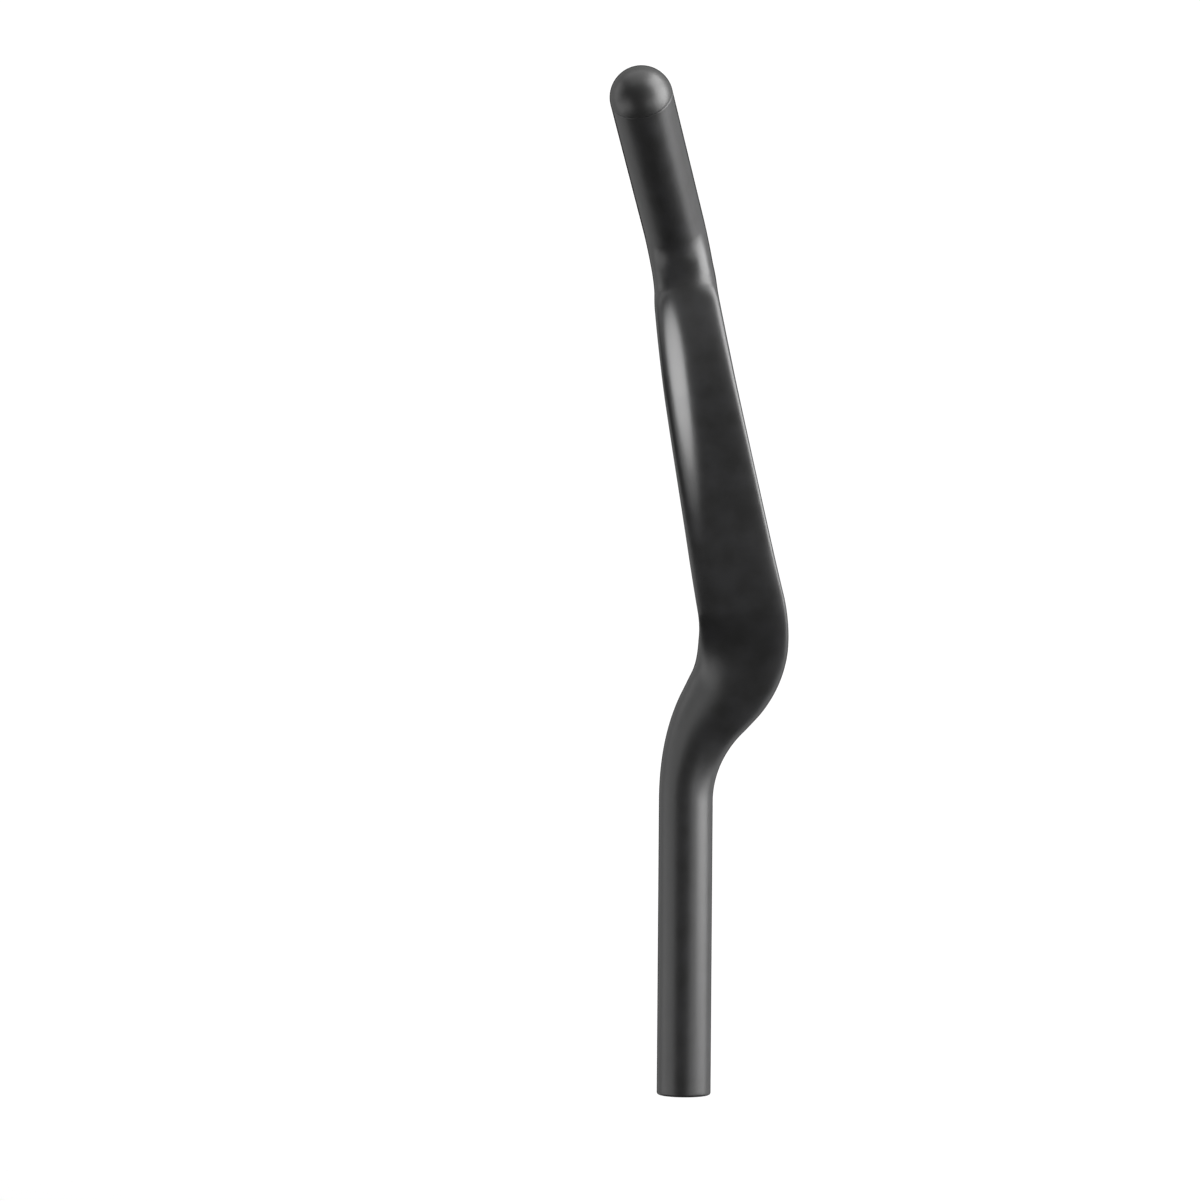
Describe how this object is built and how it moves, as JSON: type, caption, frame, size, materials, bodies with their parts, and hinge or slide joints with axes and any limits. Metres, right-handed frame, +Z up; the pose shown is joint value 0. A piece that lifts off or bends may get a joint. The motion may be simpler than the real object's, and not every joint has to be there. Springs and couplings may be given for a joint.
{
  "type": "aero handlebar extension",
  "caption": "Right-hand hollow aero handlebar extension: a round clamp tube, a sideways and upward S-bend, a dished forearm cradle and a raised round grip closed by a domed plug.",
  "frame": {"origin": "centre of the rear end of the clamp tube, on the tube's axis", "axes": "+Y forward along the clamp tube, +X outboard to the rider's right, +Z up"},
  "size_m": [0.0683, 0.4132, 0.1055],
  "materials": {
    "carbon_laminate": "satin black carbon laminate, moulded under pressure, with no visible weave",
    "plug_plastic": "satin black moulded plastic"
  },
  "bodies": {
    "root": {"extension_body": "carbon_laminate", "grip_end_plug": "plug_plastic"}
  },
  "joints": []
}
